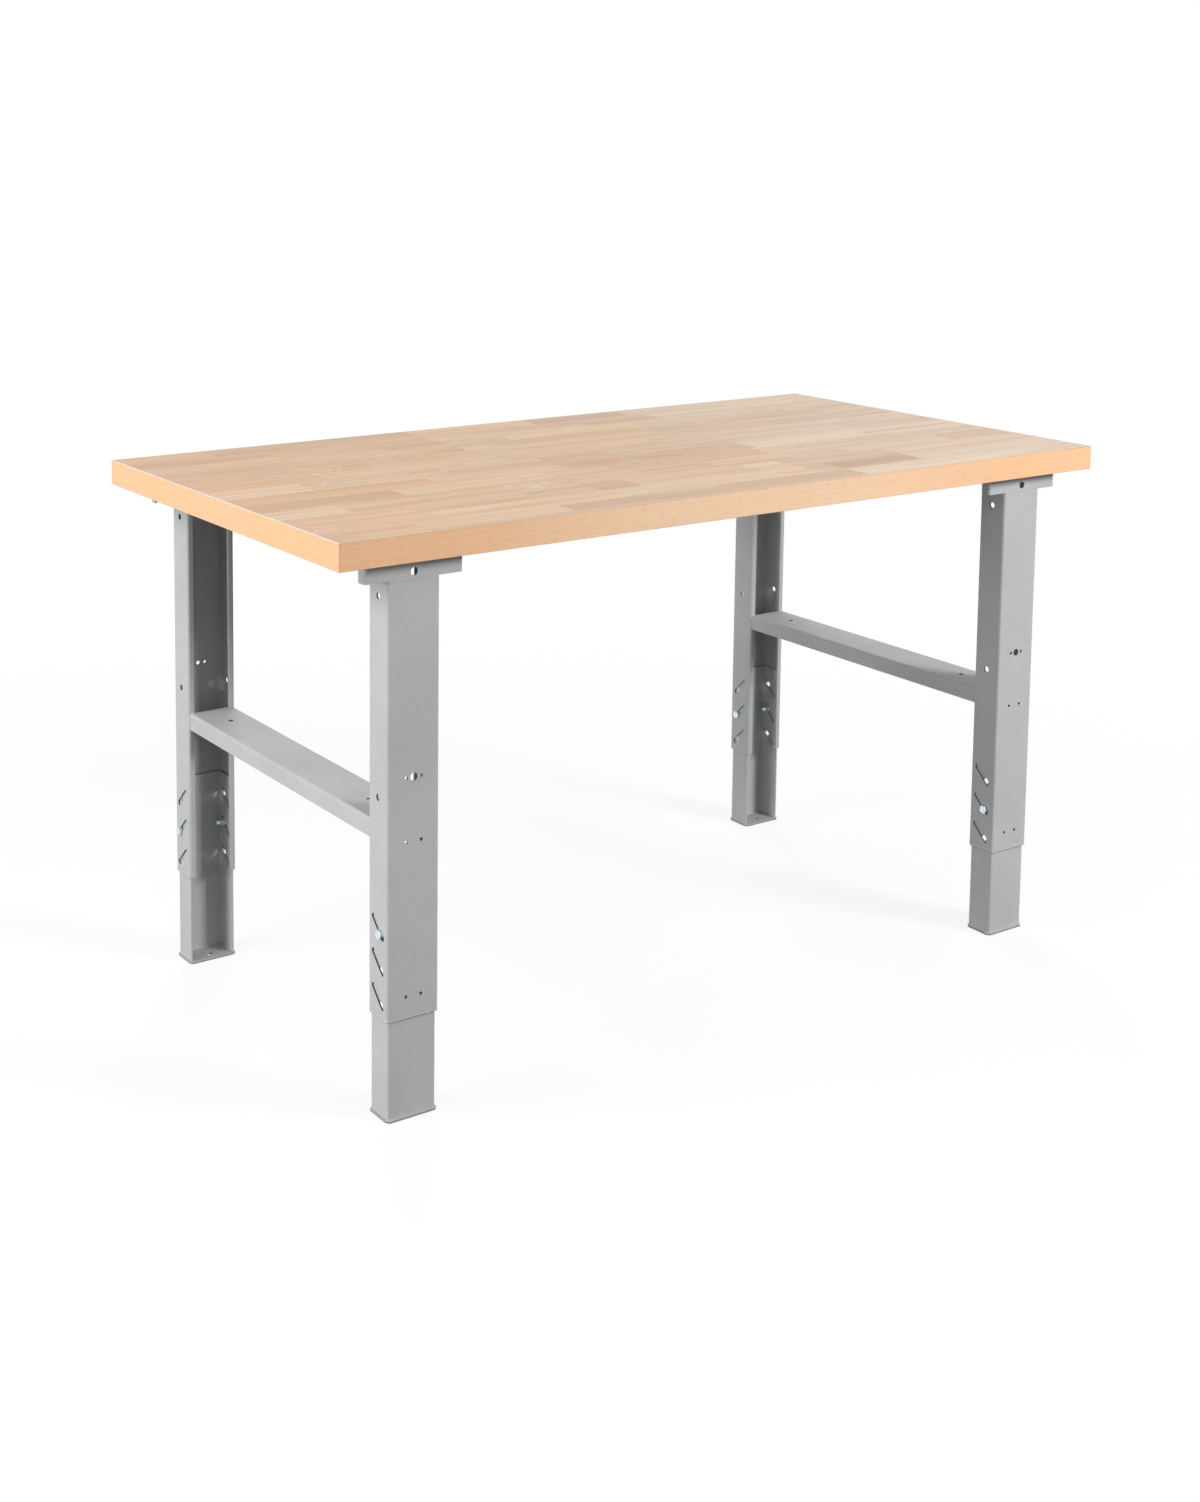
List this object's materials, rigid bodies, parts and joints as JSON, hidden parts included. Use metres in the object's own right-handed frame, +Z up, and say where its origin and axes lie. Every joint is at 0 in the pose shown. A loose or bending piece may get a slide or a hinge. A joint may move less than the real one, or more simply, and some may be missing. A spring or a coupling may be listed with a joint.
{
  "type": "workbench",
  "caption": "Height-adjustable workbench: strip-wood top on two welded sheet-steel end frames with telescopic legs clamped by bolts in crossed slanted slots.",
  "frame": {"origin": "on the floor under the middle of the worktop, legs at the middle place of their rest setting", "axes": "+X along the length of the worktop to the right, -Y to the front, +Z up"},
  "size_m": [1.5, 0.75, 0.855],
  "materials": {
    "powder_coat": "light grey structured powder coat on folded steel sheet",
    "zinc": "bright bluish zinc plating",
    "strip_wood": "beech-coloured strip parquet, matt sealed",
    "edge_band": "light beech band, matt",
    "core_board": "raw pressed wood board",
    "backing_sheet": "plain beech-coloured backing"
  },
  "bodies": {
    "bench_frame": {"edge_band_front": "edge_band", "edge_band_rear": "edge_band", "edge_band_left": "edge_band", "edge_band_right": "edge_band", "worktop_core": "core_board", "worktop_surface": "strip_wood", "worktop_backing": "backing_sheet", "left_top_rail": "powder_coat", "left_crossbar": "powder_coat", "left_worktop_screws": "zinc", "right_top_rail": "powder_coat", "right_crossbar": "powder_coat", "right_worktop_screws": "zinc", "front_left_upper_leg": "powder_coat", "rear_left_upper_leg": "powder_coat", "front_right_upper_leg": "powder_coat", "rear_right_upper_leg": "powder_coat"},
    "front_left_leg": {"front_left_lower_leg": "powder_coat", "front_left_foot_plate": "powder_coat"},
    "front_left_bolts": {"front_left_clamping_bolts": "zinc", "front_left_clamping_washers": "zinc", "front_left_clamping_nuts": "zinc"},
    "rear_left_leg": {"rear_left_lower_leg": "powder_coat", "rear_left_foot_plate": "powder_coat"},
    "rear_left_bolts": {"rear_left_clamping_bolts": "zinc", "rear_left_clamping_washers": "zinc", "rear_left_clamping_nuts": "zinc"},
    "front_right_leg": {"front_right_lower_leg": "powder_coat", "front_right_foot_plate": "powder_coat"},
    "front_right_bolts": {"front_right_clamping_bolts": "zinc", "front_right_clamping_washers": "zinc", "front_right_clamping_nuts": "zinc"},
    "rear_right_leg": {"rear_right_lower_leg": "powder_coat", "rear_right_foot_plate": "powder_coat"},
    "rear_right_bolts": {"rear_right_clamping_bolts": "zinc", "rear_right_clamping_washers": "zinc", "rear_right_clamping_nuts": "zinc"}
  },
  "joints": [
    {"name": "front_left_leg_slide", "type": "slide", "parent": "bench_frame", "child": "front_left_leg", "axis": [0, 0, 1], "range_m": [-0.0095, 0.0395]},
    {"name": "front_left_bolt_slide", "type": "slide", "parent": "bench_frame", "child": "front_left_bolts", "axis": [0, 0.7071, 0.7071], "range_m": [-0.00675, 0.02797]},
    {"name": "rear_left_leg_slide", "type": "slide", "parent": "bench_frame", "child": "rear_left_leg", "axis": [0, 0, 1], "range_m": [-0.0095, 0.0395]},
    {"name": "rear_left_bolt_slide", "type": "slide", "parent": "bench_frame", "child": "rear_left_bolts", "axis": [0, -0.7071, 0.7071], "range_m": [-0.00675, 0.02797]},
    {"name": "front_right_leg_slide", "type": "slide", "parent": "bench_frame", "child": "front_right_leg", "axis": [0, 0, 1], "range_m": [-0.0095, 0.0395]},
    {"name": "front_right_bolt_slide", "type": "slide", "parent": "bench_frame", "child": "front_right_bolts", "axis": [0, 0.7071, 0.7071], "range_m": [-0.00675, 0.02797]},
    {"name": "rear_right_leg_slide", "type": "slide", "parent": "bench_frame", "child": "rear_right_leg", "axis": [0, 0, 1], "range_m": [-0.0095, 0.0395]},
    {"name": "rear_right_bolt_slide", "type": "slide", "parent": "bench_frame", "child": "rear_right_bolts", "axis": [0, -0.7071, 0.7071], "range_m": [-0.00675, 0.02797]}
  ],
  "couplings": [
    {"joint": "front_left_bolt_slide", "follows": "front_left_leg_slide", "ratio": 0.70711},
    {"joint": "rear_left_bolt_slide", "follows": "rear_left_leg_slide", "ratio": 0.70711},
    {"joint": "front_right_bolt_slide", "follows": "front_right_leg_slide", "ratio": 0.70711},
    {"joint": "rear_right_bolt_slide", "follows": "rear_right_leg_slide", "ratio": 0.70711}
  ]
}
